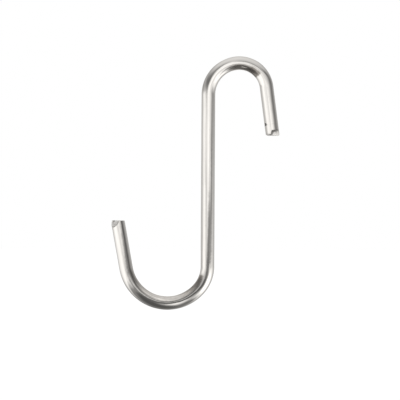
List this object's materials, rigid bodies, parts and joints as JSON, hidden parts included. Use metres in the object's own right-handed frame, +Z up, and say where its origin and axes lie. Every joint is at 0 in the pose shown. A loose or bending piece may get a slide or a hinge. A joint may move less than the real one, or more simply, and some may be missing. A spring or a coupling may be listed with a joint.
{
  "type": "s hook",
  "caption": "Bright steel wire S hook: a straight shank with a small hook above that hangs on a rail and a wider hook below that carries the load.",
  "frame": {"origin": "the seat under the crown of the top bend, where the rail that carries the hook bears, in the wire's middle plane", "axes": "+Z up along the shank as the hook hangs, +X towards the top hook's leg, -Y the front that the picture shows"},
  "size_m": [0.0607, 0.005, 0.092],
  "materials": {
    "wire": "bright drawn wire, polished, with plain sheared ends"
  },
  "bodies": {
    "root": {"hook": "wire"}
  },
  "joints": []
}
